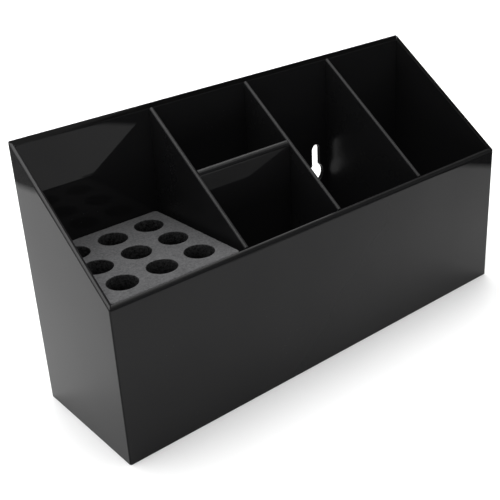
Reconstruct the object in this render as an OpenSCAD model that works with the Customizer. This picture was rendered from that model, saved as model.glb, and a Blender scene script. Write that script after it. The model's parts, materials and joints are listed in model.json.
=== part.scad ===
// Desk or wall rack for paints, brushes and hobby tools.
// A box of bonded sheet panels with a sloping open top, four bays across,
// and a loose foam block with tool sockets in the widest bay.
// X runs along the rack, Y from its front to its back, Z up.
// The origin is the middle of the footprint, on the surface the rack stands on.

/* [Rack] */
// Length of the rack from end to end
rack_length = 320; // [260:1:420]
// Depth of the rack from front to back
rack_depth = 91.5; // [75:0.5:130]
// Height of the back panel
back_height = 169.5; // [150:0.5:220]
// Height of the front panel at its outer face
front_height = 99; // [80:0.5:130]
// Thickness of the sheet that every panel is cut from
sheet = 3; // [2:0.5:5]

/* [Bays] */
// Clear width of the bay that holds the foam block
block_bay_width = 89.5; // [70:0.5:110]
// Clear depth of the pocket in front of the cross divider
front_pocket_depth = 42.5; // [30:0.5:50]

/* [Foam block] */
// Sockets along each side of the block
sockets_per_side = 3; // [2:1:4]
// Bore of each socket
socket_bore = 18; // [8:0.5:19]
// Foam left under the sockets
socket_floor = 12; // [4:1:30]
// Gap between the block and the end panel beside it
block_side_gap = 0.7; // [0.3:0.1:2]
// Gap between the block and the divider beside it
block_divider_gap = 2.8; // [0.3:0.1:4]
// Gap in front of, behind and under the block
block_clearance = 0.3; // [0.2:0.1:1]
// How far the top of the block lies under the rim at the front
block_drop = 1; // [0:0.1:20]

/* [Keyholes] */
// Diameter of the round entry that a screw head passes through
entry_bore = 14; // [8:0.5:16]
// Width of the slot that the screw's shank slides up
slot_width = 7.5; // [4:0.5:7.5]
// Height of the entry's centre above the base
entry_height = 84.5; // [60:0.5:100]
// Distance from the entry's centre up to the centre of the slot's round end
slot_rise = 18; // [10:0.5:30]
// Distance from the right divider to the centre of the keyhole beside it
keyhole_inset = 10.75; // [9:0.25:20]

/* [Hidden] */
$fn = 96;

// Overshoot of a cutting shape past the face that it cuts
cut = 1;
sheet_black = [0.03, 0.03, 0.035];
foam_grey = [0.2, 0.2, 0.21];

// Everything is laid out from the outer left front corner, then moved to the origin
half_length = rack_length / 2;
half_depth = rack_depth / 2;
inner_back = rack_depth - sheet;
rim_slope = (back_height - front_height) / rack_depth;

// The three bays to the right of the foam block's bay are equally wide
narrow_bays = 3;
first_divider = sheet + block_bay_width;
narrow_bay_width = (rack_length - first_divider - narrow_bays * sheet - sheet) / narrow_bays;
divider_step = narrow_bay_width + sheet;

// Left faces of the three full-depth dividers
left_divider_x = first_divider;
centre_divider_x = first_divider + divider_step;
right_divider_x = first_divider + 2 * divider_step;

// Front face of the cross divider, which spans the second bay
cross_divider_y = sheet + front_pocket_depth;
second_bay_x = left_divider_x + sheet;

// Foam block, standing on the base inside its bay
block_x = sheet + block_side_gap;
block_y = sheet + block_clearance;
block_z = sheet + block_clearance;
block_width = block_bay_width - block_side_gap - block_divider_gap;
block_depth = rack_depth - 2 * sheet - 2 * block_clearance;
rim_at_block = front_height + rim_slope * sheet;
block_height = rim_at_block - block_drop - block_z;
socket_depth = block_height - socket_floor;

// The foam left between sockets is as wide as the foam left outside them
function socket_pitch(side) = socket_bore + (side - sockets_per_side * socket_bore) / (sockets_per_side + 1);
function socket_centre(side, i) = side / 2 + (i - (sockets_per_side - 1) / 2) * socket_pitch(side);

// Keyhole centres: one in the middle of the second bay, one beside the right divider
keyhole_xs = [second_bay_x + narrow_bay_width / 2, right_divider_x - keyhole_inset];

// Puts what is laid out from the outer left front corner into the part's frame
module placed() {
    translate([-half_length, -half_depth, 0])
        children();
}

// All of the space under the sloping plane of the rims, within the rack's outline
module under_rim() {
    rotate([90, 0, 90])
        linear_extrude(rack_length)
            polygon([[0, 0], [rack_depth, 0], [rack_depth, back_height], [0, front_height]]);
}

// A panel of the outer box: its outline seen from above, standing up to the rim plane
module wall(outline) {
    intersection() {
        linear_extrude(back_height + cut)
            polygon(outline);
        under_rim();
    }
}

// A full-depth divider whose left face is at x, standing on the base
module divider(x) {
    color(sheet_black)
        placed()
            intersection() {
                translate([x, sheet, sheet])
                    cube([sheet, inner_back - sheet, back_height]);
                under_rim();
            }
}

// A round entry with a slot that rises from it, cut through the back panel at x
module keyhole(x) {
    translate([x, inner_back - cut, entry_height])
        rotate([-90, 0, 0]) {
            cylinder(d = entry_bore, h = sheet + 2 * cut);
            translate([0, -slot_rise, 0])
                cylinder(d = slot_width, h = sheet + 2 * cut);
            translate([-slot_width / 2, -slot_rise, 0])
                cube([slot_width, slot_rise, sheet + 2 * cut]);
        }
}

// The floor of the rack, set in flush between the four walls
module base_panel() {
    color(sheet_black)
        placed()
            translate([sheet, sheet, 0])
                cube([rack_length - 2 * sheet, rack_depth - 2 * sheet, sheet]);
}

// The four walls meet in mitres at the upright corners
module front_panel() {
    color(sheet_black)
        placed()
            wall([[0, 0], [rack_length, 0], [rack_length - sheet, sheet], [sheet, sheet]]);
}

module back_panel() {
    color(sheet_black)
        placed()
            difference() {
                wall([[sheet, inner_back], [rack_length - sheet, inner_back],
                      [rack_length, rack_depth], [0, rack_depth]]);
                for (x = keyhole_xs)
                    keyhole(x);
            }
}

module left_end_panel() {
    color(sheet_black)
        placed()
            wall([[0, 0], [sheet, sheet], [sheet, inner_back], [0, rack_depth]]);
}

module right_end_panel() {
    color(sheet_black)
        placed()
            wall([[rack_length, 0], [rack_length, rack_depth],
                  [rack_length - sheet, inner_back], [rack_length - sheet, sheet]]);
}

module left_divider() {
    divider(left_divider_x);
}

module centre_divider() {
    divider(centre_divider_x);
}

module right_divider() {
    divider(right_divider_x);
}

// The short divider that splits the second bay into a front and a rear pocket
module cross_divider() {
    color(sheet_black)
        placed()
            intersection() {
                translate([second_bay_x, cross_divider_y, sheet])
                    cube([narrow_bay_width, sheet, back_height]);
                under_rim();
            }
}

// The loose foam block with its grid of blind sockets
module foam_block() {
    color(foam_grey)
        placed()
            translate([block_x, block_y, block_z])
                difference() {
                    cube([block_width, block_depth, block_height]);
                    for (i = [0 : sockets_per_side - 1], j = [0 : sockets_per_side - 1])
                        translate([socket_centre(block_width, i), socket_centre(block_depth, j), socket_floor])
                            cylinder(d = socket_bore, h = socket_depth + cut);
                }
}

base_panel();
front_panel();
back_panel();
left_end_panel();
right_end_panel();
left_divider();
centre_divider();
right_divider();
cross_divider();
foam_block();
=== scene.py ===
import json
import math

import bmesh
import bpy
from mathutils import Matrix, Vector, noise


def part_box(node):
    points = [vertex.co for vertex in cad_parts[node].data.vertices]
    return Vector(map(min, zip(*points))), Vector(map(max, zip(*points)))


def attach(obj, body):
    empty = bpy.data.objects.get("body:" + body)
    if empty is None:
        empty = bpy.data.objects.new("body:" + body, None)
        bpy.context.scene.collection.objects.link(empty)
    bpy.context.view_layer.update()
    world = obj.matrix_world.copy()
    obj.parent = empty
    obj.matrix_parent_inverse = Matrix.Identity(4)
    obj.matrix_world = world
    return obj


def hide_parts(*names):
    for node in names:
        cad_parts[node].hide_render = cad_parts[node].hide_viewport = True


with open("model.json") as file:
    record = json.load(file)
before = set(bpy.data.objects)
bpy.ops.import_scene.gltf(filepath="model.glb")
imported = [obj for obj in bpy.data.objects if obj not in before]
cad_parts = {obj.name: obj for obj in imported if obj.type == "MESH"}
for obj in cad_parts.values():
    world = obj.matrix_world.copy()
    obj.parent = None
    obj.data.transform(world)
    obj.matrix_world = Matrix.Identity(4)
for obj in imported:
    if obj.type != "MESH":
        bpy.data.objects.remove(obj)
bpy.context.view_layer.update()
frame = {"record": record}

mm = 0.001
mitreTurn = math.radians(45)
scene = bpy.context.scene

# where things are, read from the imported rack
frontLow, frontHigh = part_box("front_panel")
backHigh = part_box("back_panel")[1]
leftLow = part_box("left_end_panel")[0]
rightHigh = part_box("right_end_panel")[1]
sheet = frontHigh.y - frontLow.y
rimSlope = (backHigh.z - frontHigh.z) / (backHigh.y - frontHigh.y)


def rimAt(y):  # height of the sloping plane that every rim lies in
    return backHigh.z + rimSlope * (y - backHigh.y)


def mix(a, b, share):
    return a + (b - a) * share


def spread(low, high, gap):  # evenly spaced places from low to high, about gap apart
    steps = max(1, round((high - low) / gap))
    return [mix(low, high, step / steps) for step in range(steps + 1)]


class MeshStock:
    def __init__(self):
        self.points = []
        self.faces = []
        self.marks = []  # which material each face takes

    def point(self, x, y, z):
        self.points.append(Vector((x, y, z)))
        return len(self.points) - 1

    def face(self, corners, mark=0):
        self.faces.append(list(corners))
        self.marks.append(mark)

    def band(self, loopA, loopB, mark=0):  # quads between two closed loops of the same count
        count = len(loopA)
        for here in range(count):
            after = (here + 1) % count
            self.face((loopA[here], loopA[after], loopB[after], loopB[here]), mark)

    def makeObject(self, name, materials):
        mesh = bpy.data.meshes.new(name)
        mesh.from_pydata(self.points, [], self.faces)
        for material in materials:
            mesh.materials.append(material)
        for polygon, mark in zip(mesh.polygons, self.marks):
            polygon.material_index = mark
            polygon.use_smooth = True
        work = bmesh.new()
        work.from_mesh(mesh)
        bmesh.ops.recalc_face_normals(work, faces=work.faces)
        work.to_mesh(mesh)
        work.free()
        piece = bpy.data.objects.new(name, mesh)
        scene.collection.objects.link(piece)
        return piece


def boundary(columns, rows):  # places round the edge of a grid, in order
    return ([(i, 0) for i in range(columns + 1)] + [(columns, j) for j in range(1, rows + 1)]
            + [(i, rows) for i in range(columns - 1, -1, -1)] + [(0, j) for j in range(rows - 1, 0, -1)])


def stackRings(stock, columns, rows, rings, pointAt, capInset, rimMark=0, windows=()):
    # rings are piled on each other round the plan's edge, and a grid closes each end
    edge = boundary(columns, rows)
    loops = []
    for ring in rings:
        loops.append({place: pointAt(place[0], place[1], ring) for place in edge})
    for level in range(len(rings) - 1):
        lower, upper = loops[level], loops[level + 1]
        for here, place in enumerate(edge):
            after = edge[(here + 1) % len(edge)]
            if any(covers(window, level, place, after) for window in windows):
                continue
            stock.face((lower[place], lower[after], upper[after], upper[place]))
    caps = []
    for ring, loop in ((rings[0], loops[0]), (rings[-1], loops[-1])):
        grid = dict(loop)
        for i in range(1, columns):
            for j in range(1, rows):
                grid[i, j] = pointAt(i, j, ring)
        caps.append(grid)
    for number, (grid, mark) in enumerate(((caps[0], 0), (caps[1], rimMark))):
        for i in range(columns):
            for j in range(rows):
                if number == 1 and capInset and capInset(i, j):
                    continue
                stock.face((grid[i, j], grid[i + 1, j], grid[i + 1, j + 1], grid[i, j + 1]), mark)
    return loops, caps


def covers(window, level, place, after):  # is this face inside an opening left in the two broad faces?
    (i0, i1), (k0, k1) = window
    sameSide = place[1] == after[1]
    inColumns = min(place[0], after[0]) >= i0 and max(place[0], after[0]) <= i1
    return sameSide and place[0] != after[0] and inColumns and k0 <= level < k1


def newMaterial(name):
    material = bpy.data.materials.new(name)
    material.use_nodes = True
    tree = material.node_tree
    shader = tree.nodes["Principled BSDF"]
    return material, tree, shader


def objectPlace(tree):
    return tree.nodes.new("ShaderNodeTexCoord").outputs["Object"]


def splitAxes(tree, source):
    node = tree.nodes.new("ShaderNodeSeparateXYZ")
    tree.links.new(source, node.inputs["Vector"])
    return node.outputs


def blendTones(tree, factor, first, second):
    node = tree.nodes.new("ShaderNodeMix")
    node.data_type = "RGBA"
    node.inputs["A"].default_value = (*first, 1)
    node.inputs["B"].default_value = (*second, 1)
    tree.links.new(factor, node.inputs["Factor"])
    return node.outputs["Result"]


def addBump(tree, shader, height, strength, distance):
    node = tree.nodes.new("ShaderNodeBump")
    node.inputs["Strength"].default_value = strength
    node.inputs["Distance"].default_value = distance
    tree.links.new(height, node.inputs["Height"])
    tree.links.new(node.outputs["Normal"], shader.inputs["Normal"])


def addNoise(tree, source, scale, detail=4.0, roughness=0.5):
    node = tree.nodes.new("ShaderNodeTexNoise")
    node.inputs["Scale"].default_value = scale
    node.inputs["Detail"].default_value = detail
    node.inputs["Roughness"].default_value = roughness
    tree.links.new(source, node.inputs["Vector"])
    return node


def addRange(tree, source, fromLow, fromHigh, toLow, toHigh):
    node = tree.nodes.new("ShaderNodeMapRange")
    node.inputs["From Min"].default_value = fromLow
    node.inputs["From Max"].default_value = fromHigh
    node.inputs["To Min"].default_value = toLow
    node.inputs["To Max"].default_value = toHigh
    tree.links.new(source, node.inputs["Value"])
    return node.outputs["Result"]


def addMath(tree, operation, a, b):
    node = tree.nodes.new("ShaderNodeMath")
    node.operation = operation
    for socket, value in zip(node.inputs, (a, b)):
        if isinstance(value, (int, float)):
            socket.default_value = value
        else:
            tree.links.new(value, socket)
    return node.outputs["Value"]


def stretched(tree, source, scale):  # the same coordinates, pulled out along an axis
    node = tree.nodes.new("ShaderNodeMapping")
    node.inputs["Scale"].default_value = scale
    tree.links.new(source, node.inputs["Vector"])
    return node.outputs["Vector"]


wallFinish = {
    "name": "polishedBlackSheet",
    "tone": 0.0082,          # how little light the black sheet scatters
    "dustTone": 0.03,
    "refraction": 1.49,
    "shine": 0.147,          # strength of its reflections
    "gloss": 0.015,          # roughness of clean sheet
    "smear": 0.02,           # roughness that handling adds
    "smearScale": 14.0,
    "unevenShine": 0.12,     # share of its reflections that wiping takes or gives
    "wipeScale": 9.0,
    "hairRough": 0.04,       # roughness in the hairline scratches
    "hairStretch": (900.0, 60.0, 60.0),
    "dustScale": 420.0,
    "dustSize": 0.16,
    "dustRough": 0.3,
    "ripple": 0.02,
    "rippleScale": 22.0,
}
dividerFinish = dict(wallFinish, name="satinBlackSheet", tone=0.0095, shine=0.1, gloss=0.27, smear=0.08,
                     dustTone=0.016, dustRough=0.05)


def blackSheetMaterial(look):
    material, tree, shader = newMaterial(look["name"])
    place = objectPlace(tree)
    shader.inputs["IOR"].default_value = look["refraction"]
    # broad smears left by handling, and reflections wiped a little unevenly
    smears = addNoise(tree, place, look["smearScale"], 5.0, 0.6)
    shine = look["shine"]
    uneven = shine * look["unevenShine"]
    wiped = addNoise(tree, place, look["wipeScale"], 2.0, 0.5)
    tree.links.new(addRange(tree, wiped.outputs["Fac"], 0.3, 0.7, shine - uneven, shine + uneven),
                   shader.inputs["Specular IOR Level"])
    gloss = look["gloss"]
    smearRough = addRange(tree, smears.outputs["Fac"], 0.45, 0.75, gloss, gloss + look["smear"])
    # a haze of hairline scratches
    hairs = addNoise(tree, stretched(tree, place, look["hairStretch"]), 1.0, 3.0, 0.7)
    hairRough = addRange(tree, hairs.outputs["Fac"], 0.62, 0.72, 0.0, look["hairRough"])
    # dust: sparse specks that scatter a little light
    specks = tree.nodes.new("ShaderNodeTexVoronoi")
    specks.inputs["Scale"].default_value = look["dustScale"]
    tree.links.new(place, specks.inputs["Vector"])
    patches = addNoise(tree, place, 35.0, 3.0, 0.6)
    size = addRange(tree, patches.outputs["Fac"], 0.5, 0.8, 0.0, look["dustSize"])
    dust = addMath(tree, "LESS_THAN", specks.outputs["Distance"], size)
    rough = addMath(tree, "ADD", smearRough, hairRough)
    rough = addMath(tree, "ADD", rough, addMath(tree, "MULTIPLY", dust, look["dustRough"]))
    tree.links.new(rough, shader.inputs["Roughness"])
    clean = (look["tone"], look["tone"], look["tone"] * 1.05)
    tree.links.new(blendTones(tree, dust, clean, (look["dustTone"],) * 3), shader.inputs["Base Color"])
    # the slight ripple of cast sheet
    ripple = addNoise(tree, place, look["rippleScale"], 1.0, 0.4)
    addBump(tree, shader, ripple.outputs["Fac"], look["ripple"], 1 * mm)
    return material


polishedEdge = {
    "name": "polishedCutEdge",
    "tone": 0.006,
    "refraction": 1.49,
    "shine": 0.3,
    "gloss": 0.12,
    "wear": 0.12,            # roughness that wear adds
    "wornShare": 2.2,        # how much paler the worn places are
    "striation": 0.12,
    "cutterMarks": (700.0, 700.0, 700.0),
}
buffedEdge = dict(polishedEdge, name="buffedCutEdge", tone=0.0042, shine=0.06, gloss=0.3)
darkEdge = dict(polishedEdge, name="darkCutEdge", tone=0.0015, shine=0.03, gloss=0.06)
scrapedEdge = dict(polishedEdge, name="scrapedCutEdge", tone=0.0125, shine=0.19, gloss=0.3,
                   striation=0.3)


def cutEdgeMaterial(look):
    material, tree, shader = newMaterial(look["name"])
    place = objectPlace(tree)
    shader.inputs["IOR"].default_value = look["refraction"]
    shader.inputs["Specular IOR Level"].default_value = look["shine"]
    # faint marks left by the edge cutter under the polish
    marks = addNoise(tree, stretched(tree, place, look["cutterMarks"]), 1.0, 2.0, 0.5)
    wear = addNoise(tree, place, 60.0, 4.0, 0.6)
    rough = addRange(tree, wear.outputs["Fac"], 0.35, 0.75, look["gloss"], look["gloss"] + look["wear"])
    tree.links.new(rough, shader.inputs["Roughness"])
    fresh, worn = (look["tone"],) * 3, (look["tone"] * look["wornShare"],) * 3
    tree.links.new(blendTones(tree, wear.outputs["Fac"], fresh, worn), shader.inputs["Base Color"])
    addBump(tree, shader, marks.outputs["Fac"], look["striation"], 0.02 * mm)
    return material


foamFinish = {
    "name": "charcoalFoam",
    "dark": 0.046,
    "pale": 0.1,
    "cells": 900.0,      # cells to the metre
    "roughness": 0.92,
    "shine": 0.15,
    "cellDepth": 0.5,
}
shadedSocketFoamFinish = {        # painted shade: the socket walls are painted far darker than the top, standing in for the shade inside the sockets
    "name": "cutFoamWall",
    "dark": 0.005,
    "pale": 0.066,
    "fadeDepth": 9 * mm,     # how far down a socket its wall is painted darker, painted shade
    "fadeTo": 0.4,
    "cells": 900.0,
    "roughness": 0.95,
    "shine": 0.05,
    "cellDepth": 0.6,
}


def foamMaterial(look):
    material, tree, shader = newMaterial(look["name"])
    place = objectPlace(tree)
    shader.inputs["Specular IOR Level"].default_value = look["shine"]
    cells = tree.nodes.new("ShaderNodeTexVoronoi")
    cells.inputs["Scale"].default_value = look["cells"]
    tree.links.new(place, cells.inputs["Vector"])
    mottle = addNoise(tree, place, 90.0, 6.0, 0.65)
    grain = addNoise(tree, place, 650.0, 3.0, 0.7)
    # colour: cell walls catch the light, pores are darker, with soft blotches over both
    blotches = addRange(tree, mottle.outputs["Fac"], 0.3, 0.7, 0.0, 1.0)
    pores = addRange(tree, grain.outputs["Fac"], 0.3, 0.7, 0.0, 1.0)
    blend = addMath(tree, "MULTIPLY", blotches, 0.2)
    blend = addMath(tree, "ADD", blend, addMath(tree, "MULTIPLY", pores, 0.5))
    blend = addMath(tree, "ADD", blend, addMath(tree, "MULTIPLY", cells.outputs["Distance"], 0.3))
    if "fadeDepth" in look:
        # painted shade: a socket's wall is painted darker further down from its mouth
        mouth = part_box("foam_block")[1].z
        level = splitAxes(tree, place)["Z"]
        # painted shade grows with depth below the mouth
        fade = addRange(tree, level, mouth - look["fadeDepth"], mouth, look["fadeTo"], 1.0)
        blend = addMath(tree, "MULTIPLY", blend, fade)
    ramp = tree.nodes.new("ShaderNodeValToRGB")
    dark, pale = ramp.color_ramp.elements
    dark.position, pale.position = 0.2, 0.85
    dark.color = (look["dark"], look["dark"], look["dark"] * 1.03, 1)
    pale.color = (look["pale"], look["pale"], look["pale"] * 1.02, 1)
    tree.links.new(blend, ramp.inputs["Fac"])
    tree.links.new(ramp.outputs["Color"], shader.inputs["Base Color"])
    matt = look["roughness"]
    rough = addRange(tree, grain.outputs["Fac"], 0.3, 0.7, matt - 0.06, matt + 0.05)
    tree.links.new(rough, shader.inputs["Roughness"])
    height = addMath(tree, "MULTIPLY", grain.outputs["Fac"], 0.8)
    height = addMath(tree, "ADD", cells.outputs["Distance"], height)
    addBump(tree, shader, height, look["cellDepth"], 0.25 * mm)
    return material


wallSheet = blackSheetMaterial(wallFinish)
dividerSheet = blackSheetMaterial(dividerFinish)
polishedRim = cutEdgeMaterial(polishedEdge)
buffedRim = cutEdgeMaterial(buffedEdge)
darkRim = cutEdgeMaterial(darkEdge)
scrapedRim = cutEdgeMaterial(scrapedEdge)
foam = foamMaterial(foamFinish)
# socket walls take a darker foam: painted shade for the inside of the sockets
socketShadeFoam = foamMaterial(shadedSocketFoamFinish)
print("materials made")

sheetShape = {
    "cornerRound": 1.2 * mm,   # round on the upright outer corners
    "arris": 0.55 * mm,        # round along both sides of a rim
    "dividerArris": 0.72 * mm,
    "frontArris": 0.8 * mm,
    "thinArris": 0.2 * mm,     # the same on the back and the right end
    "foot": 0.25 * mm,         # round along the bottom edges
    "crown": 0.3 * mm,         # how far the middle of a rim stands over its sides
    "frontCrown": 0.15 * mm,
    "flatCrown": 0.06 * mm,    # the same on the rims that are left nearly flat
    "slant": 0.4 * mm,         # how much lower a buffed rim is along its inner side
    "seam": 0.07 * mm,         # hairline where two cemented sheets meet
    "seamRun": 0.25 * mm,      # how far along a sheet the hairline's lip runs
    "support": 0.8 * mm,       # row of points that keeps the broad faces flat up to a round
    "bow": 0.05 * mm,          # how far the broad faces wander from flat
    "bowLength": 75 * mm,
    "bowFromEnd": 30 * mm,     # the bow grows over these distances
    "bowFromFoot": 25 * mm,
    "seamRise": 1 * mm,        # height over which a joint's end drops away under the rim
    "endGap": 3 * mm,          # first points from the end of a sheet that isn't mitred
    "underFrontRim": 12 * mm,  # level rows of points stop this far under the lowest rim
    "underDividerRim": 15 * mm,
    "underCrossRim": 18 * mm,
    "gap": 12 * mm,            # spacing of points on the broad faces
    "arcSteps": 4,
    "across": 6,               # points across a rim
}


def crossSections(length, thickness, mitred, places):
    # (distance along the outer face, along the inner face, turn of the outer corner) for each section
    shape = sheetShape
    start = []
    if mitred:
        for step in range(shape["arcSteps"] + 1):
            turn = mitreTurn * (1 - step / shape["arcSteps"])
            outer = shape["cornerRound"] * (1 - math.sin(turn))
            inner = thickness + outer - shape["cornerRound"] * (1 - math.sin(mitreTurn))
            start.append((outer, inner, turn))
    else:
        start = [(0.0, 0.0, 0.0), (shape["seamRun"], shape["seamRun"], 0.0)]
    middle = [(place, place, 0.0) for place in places]
    finish = [(length - outer, length - inner, -turn) for outer, inner, turn in reversed(start)]
    return start + middle + finish


def sheetPanel(name, start, along, inward, length, mitred, topAt, bottom, levels,
               thickness=sheet, places=None, holes=(), crown=None, slant=0.0, arris=None, looks=None):
    # start: outer corner seen from above; along and inward: unit directions in plan
    shape = sheetShape
    stock = MeshStock()
    crown = shape["crown"] if crown is None else crown
    arris = shape["arris"] if arris is None else arris
    if places is None:
        fromEnd = 2 * thickness if mitred else shape["endGap"]
        places = spread(fromEnd, length - fromEnd, shape["gap"])
    sections = crossSections(length, thickness, mitred, places)
    columns, rows = len(sections) - 1, shape["across"]

    def planAt(i, j, inset):
        outer, inner, turn = sections[i]
        share = j / rows
        atEnd = i in (0, columns)
        side = 1 if i <= columns / 2 else -1
        depth = shape["cornerRound"] * (1 - math.cos(turn)) if mitred else 0.0
        near = depth + inset * math.cos(turn)
        far = thickness - inset
        outerAlong = outer + inset * math.sin(turn)
        innerAlong = inner - inset * math.sin(turn) / math.sin(mitreTurn)
        distance = mix(outerAlong, innerAlong, share)
        inwards = mix(near, far, share)
        if atEnd:  # a mitre stays shut along its inner corner
            distance += side * shape["seam"] * ((1 - share) if mitred else 1)
        return distance, inwards

    def pointAt(i, j, ring):
        inset, heightOf = ring
        distance, inwards = planAt(i, j, inset)
        x = start[0] + along[0] * distance + inward[0] * inwards
        y = start[1] + along[1] * distance + inward[1] * inwards
        share = j / rows
        top = topAt(x, y)
        z = heightOf(top, share)
        if i in (0, columns):
            z -= shape["seam"] * min(1.0, max(0.0, (z - top + shape["seamRise"]) / shape["seamRise"]))
        free = min(1.0, min(distance, length - distance) / shape["bowFromEnd"])
        free = max(0.0, free) * min(1.0, max(0.0, z - bottom) / shape["bowFromFoot"])
        place = Vector((distance, z, len(name) * 0.137)) / shape["bowLength"]
        wander = shape["bow"] * noise.noise(place) * free
        return stock.point(x + inward[0] * wander, y + inward[1] * wander, z)

    steps = shape["arcSteps"]
    rings = []
    for step in range(steps + 1):
        turn = math.radians(90) * (1 - step / steps)
        rings.append((shape["foot"] * (1 - math.cos(turn)),
                      lambda top, share, rise=shape["foot"] * (1 - math.sin(turn)): bottom + rise))
    for height in levels:
        rings.append((0.0, lambda top, share, height=height: height))
    fanFrom = levels[-1] if levels else bottom + shape["foot"]
    under = arris + crown + slant
    support = shape["support"]
    for part in (0.25, 0.5, 0.75):
        rings.append((0.0, lambda top, share, part=part: mix(fanFrom, top - under - support, part)))
    rings.append((0.0, lambda top, share: top - under - support))
    edgeFrom = len(rings)
    for step in range(steps + 1):
        turn = math.radians(90) * step / steps
        rings.append((arris * (1 - math.cos(turn)),
                      lambda top, share, drop=arris * (1 - math.sin(turn)):
                      top - drop - slant * share - crown * (2 * share - 1) ** 2))
    # the crown is only on the rim itself: on the way up both sides stay level
    rings[edgeFrom] = (0.0, lambda top, share: top - under)

    windows = []
    for hole in holes:
        distances = [section[0] for section in sections]
        columnRange = tuple(nearest(distances, far) for far in hole["alongRange"])
        firstLevel = steps + 1
        rowRange = tuple(firstLevel + nearest(levels, height) for height in hole["heightRange"])
        windows.append((columnRange, rowRange))
    loops, caps = stackRings(stock, columns, rows, rings, pointAt, None, 1, windows)
    for hole, window in zip(holes, windows):
        cutKeyhole(stock, loops, rows, window, hole)
    return stock.makeObject(name, looks or [wallSheet, polishedRim])


def nearest(values, wanted):
    return min(range(len(values)), key=lambda n: abs(values[n] - wanted))


keyhole = {
    "slotWidth": 7.5 * mm,
    "slotRise": 18 * mm,
    "arris": 0.3 * mm,
    "halfWindow": 13 * mm,      # half width of the patch of mesh round each keyhole
    "under": 14 * mm,           # patch below the entry's centre
    "over": 27 * mm,            # patch above it
    "roundSteps": 28,           # round the entry
    "capSteps": 12,             # round the slot's top
    "sideSteps": 4,             # up each side of the slot
    "lowSteps": 8,              # rows from the patch's foot to the neck
    "rowsOver": (10 * mm, 20 * mm),
}


def keyholeOutline(entryRadius, grow):
    # from the neck at the right, down round the entry, up the slot and over its top
    radius, halfSlot = entryRadius + grow, keyhole["slotWidth"] / 2 + grow
    neck = math.sqrt(radius ** 2 - halfSlot ** 2)
    first = math.atan2(neck, halfSlot)
    rise = keyhole["slotRise"]
    points = []
    for step in range(keyhole["roundSteps"] + 1):
        angle = first - (math.pi + 2 * first) * step / keyhole["roundSteps"]
        points.append((radius * math.cos(angle), radius * math.sin(angle)))
    for step in range(1, keyhole["sideSteps"] + 1):
        points.append((-halfSlot, mix(neck, rise, step / keyhole["sideSteps"])))
    for step in range(1, keyhole["capSteps"] + 1):
        angle = math.pi * (1 - step / keyhole["capSteps"])
        points.append((halfSlot * math.cos(angle), rise + halfSlot * math.sin(angle)))
    for step in range(1, keyhole["sideSteps"]):
        points.append((halfSlot, mix(rise, neck, step / keyhole["sideSteps"])))
    return points


def cutKeyhole(stock, loops, rows, window, hole):
    (i0, i1), (k0, k1) = window
    neckLevel = k1 - keyhole["sideSteps"]
    walk = [(i0, k) for k in range(neckLevel, k0, -1)] + [(i, k0) for i in range(i0, i1)]
    walk += [(i1, k) for k in range(k0, k1)] + [(i, k1) for i in range(i1, i0, -1)]
    walk += [(i0, k) for k in range(k1, neckLevel, -1)]
    outer = [loops[k][i, 0] for i, k in walk]
    inner = [loops[k][i, rows] for i, k in walk]
    centre = hole["centre"]
    arris = keyhole["arris"]
    depths = [sum(stock.points[n].y for n in loop) / len(loop) for loop in (outer, inner)]
    steps = 3

    def ringAt(grow, y):
        return [stock.point(centre[0] + x, y, centre[1] + z)
                for x, z in keyholeOutline(hole["radius"], grow)]

    def skinRings(border, y, inwards):
        # from the patch's border to the hole's edge, then over the round into the wall
        made = [border]
        lip = keyholeOutline(hole["radius"], arris)
        for share in (0.4, 0.75):
            ring = []
            for n, (x, z) in zip(border, lip):
                corner = stock.points[n]
                ring.append(stock.point(mix(corner.x, centre[0] + x, share), mix(corner.y, y, share),
                                        mix(corner.z, centre[1] + z, share)))
            made.append(ring)
        for step in range(steps + 1):
            turn = math.radians(90) * step / steps
            made.append(ringAt(arris * (1 - math.sin(turn)), y + inwards * arris * (1 - math.cos(turn))))
        return made

    outerRings = skinRings(outer, depths[0], -1)
    innerRings = skinRings(inner, depths[1], 1)
    for rings in (outerRings, innerRings):
        for low, high in zip(rings, rings[1:]):
            stock.band(low, high)
    stock.band(outerRings[-1], innerRings[-1], 1)


def underSlope(x, y):
    return rimAt(y)


def backPanel():
    shape = sheetShape
    mount = next(m for m in frame["record"]["mounts"] if m["kind"] == "bolt_pattern")
    middle, spacing = mount["pos_m"], mount["dims"]["spacing_x_mm"] * mm
    radius = mount["dims"]["hole_r_mm"] * mm
    neck = math.sqrt(radius ** 2 - (keyhole["slotWidth"] / 2) ** 2)
    low, high = middle[2] - keyhole["under"], middle[2] + keyhole["over"]
    neckHeight = middle[2] + neck
    # rows of points: the two keyholes share theirs
    below = spread(shape["foot"] + shape["support"], low, shape["gap"])[:-1]
    lower = [mix(low, neckHeight, step / keyhole["lowSteps"]) for step in range(keyhole["lowSteps"] + 1)]
    sideSteps = keyhole["sideSteps"]
    upper = [mix(neckHeight, high, step / sideSteps) for step in range(1, sideSteps + 1)]
    levels = below + lower + upper + [high + rise for rise in keyhole["rowsOver"]]
    # columns of points, counted from the right end because that is where this panel starts
    width = rightHigh.x - leftLow.x
    centres = sorted(rightHigh.x - (middle[0] + side * spacing / 2) for side in (-1, 1))
    places, holes, reached = [], [], 2 * sheet
    for centre in centres:
        first, last = centre - keyhole["halfWindow"], centre + keyhole["halfWindow"]
        places += spread(reached, first, shape["gap"])[:-1]
        places += [mix(first, last, step / keyhole["capSteps"]) for step in range(keyhole["capSteps"])]
        reached = last
        holes.append({"centre": (rightHigh.x - centre, middle[2]), "radius": radius,
                      "alongRange": (first, last), "heightRange": (low, high)})
    places += spread(reached, width - 2 * sheet, shape["gap"])
    return sheetPanel("back_wall", (rightHigh.x, backHigh.y), (-1, 0), (0, -1), width, True,
                      underSlope, 0.0, levels, places=places, holes=holes,
                      crown=shape["flatCrown"], slant=shape["slant"], arris=shape["thinArris"],
                      looks=[wallSheet, darkRim])


def sideLevels(top):
    return spread(sheetShape["foot"] + sheetShape["support"], top, sheetShape["gap"])


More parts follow.
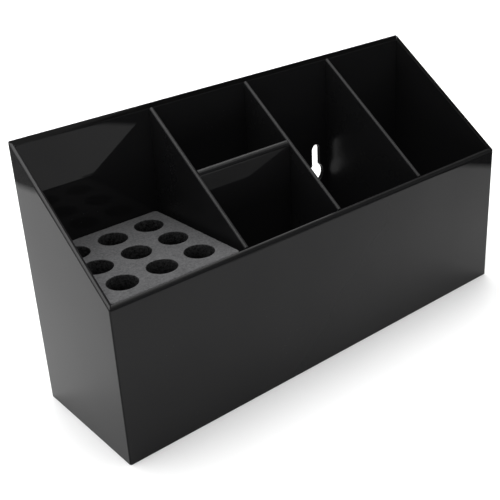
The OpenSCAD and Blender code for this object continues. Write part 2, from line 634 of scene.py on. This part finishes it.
def wallPanels():
    shape = sheetShape
    width, depth = rightHigh.x - leftLow.x, backHigh.y - frontLow.y
    levels = sideLevels(rimAt(frontLow.y) - shape["underFrontRim"])
    front = sheetPanel("front_wall", (leftLow.x, frontLow.y), (1, 0), (0, 1), width, True,
                       underSlope, 0.0, levels, crown=shape["frontCrown"], slant=shape["slant"],
                       arris=shape["frontArris"], looks=[wallSheet, buffedRim])
    left = sheetPanel("left_end_wall", (leftLow.x, backHigh.y), (0, -1), (1, 0), depth, True,
                      underSlope, 0.0, levels)
    right = sheetPanel("right_end_wall", (rightHigh.x, frontLow.y), (0, 1), (-1, 0), depth, True,
                       underSlope, 0.0, levels, crown=shape["flatCrown"], arris=shape["thinArris"],
                       looks=[wallSheet, darkRim])
    return [front, left, right, backPanel()]


def dividerPanels():
    shape = sheetShape
    made = []
    for node in ("left_divider", "centre_divider", "right_divider"):
        low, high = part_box(node)
        levels = [low.z + level for level in sideLevels(rimAt(low.y) - shape["underDividerRim"])]
        made.append(sheetPanel(node + "_sheet", (high.x, low.y), (0, 1), (-1, 0), high.y - low.y, False,
                               underSlope, low.z, levels, arris=shape["dividerArris"],
                               looks=[dividerSheet, scrapedRim]))
    low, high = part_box("cross_divider")
    levels = [low.z + level for level in sideLevels(rimAt(low.y) - shape["underCrossRim"])]
    made.append(sheetPanel("cross_divider_sheet", (low.x, low.y), (1, 0), (0, 1), high.x - low.x, False,
                           underSlope, low.z, levels, crown=shape["frontCrown"],
                           arris=shape["frontArris"], looks=[wallSheet, scrapedRim]))
    return made


def floorPanel():
    low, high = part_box("base_panel")
    level = high.z + sheetShape["crown"]
    return sheetPanel("base_sheet", (low.x, low.y), (1, 0), (0, 1), high.x - low.x, False,
                      lambda x, y: level, low.z, [], thickness=high.y - low.y)


pieceFor = {
    "front_wall": "front_panel",
    "left_end_wall": "left_end_panel",
    "right_end_wall": "right_end_panel",
    "back_wall": "back_panel",
    "left_divider_sheet": "left_divider",
    "centre_divider_sheet": "centre_divider",
    "right_divider_sheet": "right_divider",
    "cross_divider_sheet": "cross_divider",
    "base_sheet": "base_panel",
}
for piece in wallPanels() + dividerPanels() + [floorPanel()]:
    flatten = piece.modifiers.new("flatFaces", "WEIGHTED_NORMAL")
    flatten.weight = 100
    flatten.keep_sharp = False
    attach(piece, "rack")
    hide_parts(pieceFor[piece.name])
print("sheet panels made")

foamShape = {
    "perSide": 3,
    "bore": 18 * mm,
    "floor": 12 * mm,         # foam left under each socket
    "edgeRound": 0.9 * mm,
    "cornerRound": 1.6 * mm,
    "lip": 0.45 * mm,         # soft edge round each socket
    "waist": 0.25 * mm,       # a die-cut socket is a little narrower half way down
    "ragged": 0.12 * mm,      # unevenness of the cut edge
    "cellSteps": 8,
    "borderSteps": 2,
    "rowGap": 9 * mm,
    "endRows": 2 * mm,        # first and last rows of points up the sides
    "roundSteps": 4,
    "footRound": 1 * mm,      # round at the foot of each socket
    "cutFrom": 4,             # loop of a socket's mouth from which its faces take the darker foam, painted shade
    "wallShares": (0.03, 0.1, 0.2, 0.35, 0.5, 0.65, 0.8, 0.92),
    # name, size and depth of the unevenness of the whole surface
    "uneven": (("unevenCut", 9 * mm, 0.22 * mm), ("pores", 1.6 * mm, 0.1 * mm)),
}


def foamBlock():
    shape = foamShape
    low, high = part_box("foam_block")
    centre, size = (low + high) / 2, high - low
    half = (size.x / 2, size.y / 2)
    stock = MeshStock()
    perSide, cell = shape["perSide"], shape["cellSteps"]
    # sockets are as far from each other as from the block's sides
    bore = shape["bore"]
    pitch = [bore + (side - perSide * bore) / (perSide + 1) for side in (size.x, size.y)]
    lines = []
    for axis in (0, 1):
        reach = pitch[axis] * perSide / 2
        cells = [mix(-reach, reach, step / (cell * perSide)) for step in range(cell * perSide + 1)]
        borderSteps = shape["borderSteps"]
        border = [mix(half[axis], reach, step / borderSteps) for step in range(borderSteps)]
        lines.append([-place for place in border] + cells + list(reversed(border)))
    count = len(lines[0]) - 1

    def planAt(i, j, inset):
        place = []
        for axis, n in ((0, i), (1, j)):
            reach = pitch[axis] * perSide / 2
            u = lines[axis][n]
            over = abs(u) - reach
            if over > 0:
                share = (half[axis] - inset - reach) / (half[axis] - reach)
                u = math.copysign(reach + over * share, u)
            place.append(u)
        # round the upright corners
        radius = shape["cornerRound"] - min(inset, shape["edgeRound"]) * 0.5
        over = [abs(place[axis]) - (half[axis] - inset - radius) for axis in (0, 1)]
        if over[0] > 0 and over[1] > 0:
            far, length = max(over), math.hypot(*over)
            for axis in (0, 1):
                corner = half[axis] - inset - radius
                place[axis] = math.copysign(corner + over[axis] * far / length, place[axis])
        return place

    def pointAt(i, j, ring):
        inset, z = ring
        u, v = planAt(i, j, inset)
        return stock.point(centre.x + u, centre.y + v, z)

    steps, radius = shape["roundSteps"], shape["edgeRound"]
    rings = []
    for step in range(steps + 1):
        turn = math.radians(90) * (1 - step / steps)
        rings.append((radius * (1 - math.cos(turn)), low.z + radius * (1 - math.sin(turn))))
    endRows = shape["endRows"]
    rings += [(0.0, z) for z in spread(low.z + endRows, high.z - endRows, shape["rowGap"])]
    for step in range(steps + 1):
        turn = math.radians(90) * step / steps
        rings.append((radius * (1 - math.cos(turn)), high.z - radius * (1 - math.sin(turn))))

    first = shape["borderSteps"]

    def inSocket(i, j):
        return first <= i < first + cell * perSide and first <= j < first + cell * perSide

    loops, caps = stackRings(stock, count, count, rings, pointAt, inSocket)
    top = caps[1]
    for row in range(perSide):
        for column in range(perSide):
            middle = (centre.x + (column - (perSide - 1) / 2) * pitch[0],
                      centre.y + (row - (perSide - 1) / 2) * pitch[1])
            i0, j0 = first + column * cell, first + row * cell
            border = [top[i0 + i, j0 + j] for i, j in squareWalk(cell)]
            cutSocket(stock, border, middle, high.z, low.z + shape["floor"], row * perSide + column)
    # the second material is the darker socket-wall foam, painted shade
    piece = stock.makeObject("foam_tool_block", [foam, socketShadeFoam])
    smooth = piece.modifiers.new("softShape", "SUBSURF")
    smooth.levels = smooth.render_levels = 1
    for label, scale, depth in shape["uneven"]:
        clouds = bpy.data.textures.new(label, "CLOUDS")
        clouds.noise_scale = scale
        clouds.noise_depth = 2
        uneven = piece.modifiers.new(label, "DISPLACE")
        uneven.texture = clouds
        uneven.strength = depth
        uneven.mid_level = 0.5
    return piece


def squareWalk(cell):  # places round the edge of a square patch, in order
    return ([(n, 0) for n in range(cell)] + [(cell, n) for n in range(cell)]
            + [(cell - n, cell) for n in range(cell)] + [(0, cell - n) for n in range(cell)])


def cutSocket(stock, border, middle, top, bottom, number):
    shape = foamShape
    count = len(border)
    radius, lip = shape["bore"] / 2, shape["lip"]
    angles = [math.radians(225) + math.tau * n / count for n in range(count)]

    def circle(r, z):
        ring = []
        for angle in angles:
            place = Vector((math.cos(angle) * 2.2, math.sin(angle) * 2.2, z * 160 + number * 7.3))
            uneven = shape["ragged"] * noise.noise(place)
            ring.append(stock.point(middle[0] + (r + uneven) * math.cos(angle),
                                    middle[1] + (r + uneven) * math.sin(angle), z))
        return ring

    rings = [border]
    outer = radius + lip
    for share in (0.35, 0.7):
        ring = []
        for n, angle in zip(border, angles):
            corner = stock.points[n]
            ring.append(stock.point(mix(corner.x, middle[0] + outer * math.cos(angle), share),
                                    mix(corner.y, middle[1] + outer * math.sin(angle), share), top))
        rings.append(ring)
    for step in range(4):
        turn = math.radians(90) * step / 3
        rings.append(circle(radius + lip * (1 - math.sin(turn)), top - lip * (1 - math.cos(turn))))
    bend = shape["footRound"]
    wallTop, wallFoot = top - lip, bottom + bend
    for share in shape["wallShares"]:
        narrow = shape["waist"] * math.sin(math.pi * share)
        rings.append(circle(radius - narrow, mix(wallTop, wallFoot, share)))
    for step in range(4):
        turn = math.radians(90) * step / 3
        rings.append(circle(radius - bend * (1 - math.cos(turn)), wallFoot - bend * math.sin(turn)))
    # from the mouth's round down, a socket's faces take the darker foam that paints its shade
    for level, (low, high) in enumerate(zip(rings, rings[1:])):
        stock.band(low, high, 1 if level >= shape["cutFrom"] else 0)
    # the socket's floor is a small grid whose edge is the last ring
    cell = count // 4
    grid = dict(zip(squareWalk(cell), rings[-1]))
    reach = radius - bend
    for i in range(1, cell):
        for j in range(1, cell):
            a, b = 2 * i / cell - 1, 2 * j / cell - 1
            grid[i, j] = stock.point(middle[0] + reach * a * math.sqrt(1 - b * b / 2),
                                     middle[1] + reach * b * math.sqrt(1 - a * a / 2), bottom)
    for i in range(cell):
        for j in range(cell):
            stock.face((grid[i, j], grid[i, j + 1], grid[i + 1, j + 1], grid[i + 1, j]), 1)


block = foamBlock()
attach(block, "block")
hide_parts("foam_block")
print("foam block made")

stageLook = {
    "floorTone": 0.96,
    "floorReach": 5.0,
    "floorSteps": 8,
    "skyBright": 1.2,        # brightness of the room behind the rack, near the horizon
    "skyDim": 0.16,          # and everywhere else
    "topBox": {"size": (3.8, 2.6), "place": (0.06, 0.58, 2.0), "turn": 53.0, "power": 106.0},
}
reflectionCards = [
    # cards just over the floor, seen only in reflections, painting dark patches and, where they glow,
    # bright ones into them: middle of the edge, turn of the edge, size, fade and brightness
    {"name": "rightCloth", "edge": (0.2675, -0.2665), "turn": 233.8, "size": (2.4, 1.6),
     "fade": 0.018, "glow": 0.0},
    {"name": "backCloth", "edge": (-0.251, 0.75), "turn": 81.0, "size": (1.1, 1.2),
     "fade": 0.012, "glow": 0.24},
    {"name": "frontCloth", "edge": (0.17, -0.212), "turn": 180.0, "size": (0.24, 0.075),
     "fade": 0.02, "glow": 0.5},
    {"name": "smallCloth", "edge": (0.232, -0.33), "turn": 180.0, "size": (0.07, 0.08),
     "fade": 0.01, "glow": 0.0},
]


def flatGrid(stock, acrossPlaces, alongPlaces, height):
    columns, rows = len(acrossPlaces) - 1, len(alongPlaces) - 1
    grid = {(i, j): stock.point(x, y, height) for i, x in enumerate(acrossPlaces)
            for j, y in enumerate(alongPlaces)}
    for i in range(columns):
        for j in range(rows):
            stock.face((grid[i, j], grid[i + 1, j], grid[i + 1, j + 1], grid[i, j + 1]))


def buildFloor():
    stock = MeshStock()
    reach, steps = stageLook["floorReach"], stageLook["floorSteps"]
    places = [mix(-reach, reach, step / steps) for step in range(steps + 1)]
    flatGrid(stock, places, places, -0.02 * mm)
    material, tree, shader = newMaterial("paleFloor")
    pale = (stageLook["floorTone"],) * 3
    duller = (stageLook["floorTone"] * 0.98,) * 3
    cloud = addNoise(tree, objectPlace(tree), 3.0, 3.0, 0.5)
    tree.links.new(blendTones(tree, cloud.outputs["Fac"], pale, duller), shader.inputs["Base Color"])
    shader.inputs["Roughness"].default_value = 0.9
    shader.inputs["Specular IOR Level"].default_value = 0.1
    stock.makeObject("pale_floor", [material])


def buildSky():
    world = bpy.data.worlds.new("studio")
    scene.world = world
    world.use_nodes = True
    tree = world.node_tree
    background = tree.nodes["Background"]
    direction = splitAxes(tree, tree.nodes.new("ShaderNodeTexCoord").outputs["Generated"])
    # brighter behind the rack and near the horizon
    behind = addRange(tree, direction["Y"], 0.1, 0.7, 0.0, 1.0)
    low = addRange(tree, direction["Z"], 0.5, 0.8, 1.0, 0.0)
    share = addMath(tree, "MULTIPLY", behind, low)
    strength = addRange(tree, share, 0.0, 1.0, stageLook["skyDim"], stageLook["skyBright"])
    tree.links.new(strength, background.inputs["Strength"])
    background.inputs["Color"].default_value = (1, 1, 1, 1)


def buildSoftbox(name, settings):
    light = bpy.data.lights.new(name, "AREA")
    light.shape = "RECTANGLE"
    light.size, light.size_y = settings["size"]
    light.energy = settings["power"]
    lamp = bpy.data.objects.new(name, light)
    scene.collection.objects.link(lamp)
    lamp.location = settings["place"]
    lamp.rotation_euler = (0, 0, math.radians(settings["turn"]))
    lamp.visible_camera = False


def buildCard(settings):
    # painted reflection: only reflections see it, as a dark patch or, where it glows, a bright one; it
    # fades in behind its edge, which runs along its own x axis
    width, reach = settings["size"]
    stock = MeshStock()
    shares = [step / 6 for step in range(7)]
    flatGrid(stock, [width * (share - 0.5) for share in shares], [reach * share for share in shares], 0)
    material, tree, shader = newMaterial(settings["name"] + "Cloth")
    place = objectPlace(tree)
    glowMottle = addNoise(tree, place, 40.0, 2.0, 0.5)
    glow = addRange(tree, glowMottle.outputs["Fac"], 0.3, 0.7, settings["glow"] * 0.9, settings["glow"] * 1.1)
    fadeIn = addRange(tree, splitAxes(tree, place)["Y"], 0.0, settings["fade"], 0.0, 1.0)
    shader.inputs["Base Color"].default_value = (0, 0, 0, 1)
    shader.inputs["Specular IOR Level"].default_value = 0
    shader.inputs["Emission Color"].default_value = (1, 1, 1, 1)
    # the glow is painted light, seen only in reflections
    tree.links.new(glow, shader.inputs["Emission Strength"])
    tree.links.new(fadeIn, shader.inputs["Alpha"])
    card = stock.makeObject(settings["name"], [material])
    card.location = (settings["edge"][0], settings["edge"][1], 1 * mm)
    card.rotation_euler = (0, 0, math.radians(settings["turn"]))
    card.visible_camera = card.visible_diffuse = card.visible_shadow = False
    card.visible_transmission = card.visible_volume_scatter = False


cameraSettings = {
    "place": (-0.3433, -0.3920, 0.3174),
    "azimuth": -36.92,        # degrees, turned from looking along +Y
    "down": 24.46,
    "roll": -4.09,
    "lens": 62.6,
    "sensor": 36.0,
    "shift": (0.051, -0.0456),
    "sees": (0.01, 50),       # nearest and furthest distance
}


def buildCamera():
    settings = cameraSettings
    data = bpy.data.cameras.new("camera")
    data.lens = settings["lens"]
    data.sensor_width = settings["sensor"]
    data.shift_x, data.shift_y = settings["shift"]
    data.clip_start, data.clip_end = settings["sees"]
    camera = bpy.data.objects.new("camera", data)
    scene.collection.objects.link(camera)
    turn = Matrix.Rotation(math.radians(settings["azimuth"]), 4, "Z")
    tilt = Matrix.Rotation(math.radians(90 - settings["down"]), 4, "X")
    roll = Matrix.Rotation(math.radians(settings["roll"]), 4, "Z")
    camera.matrix_world = Matrix.Translation(settings["place"]) @ turn @ tilt @ roll
    scene.camera = camera


buildFloor()
buildSky()
buildSoftbox("topBox", stageLook["topBox"])
# cards that paint dark and glowing patches into the reflections
for card in reflectionCards:
    buildCard(card)
buildCamera()
scene.view_settings.view_transform = "Standard"
print("stage, lights and camera made")
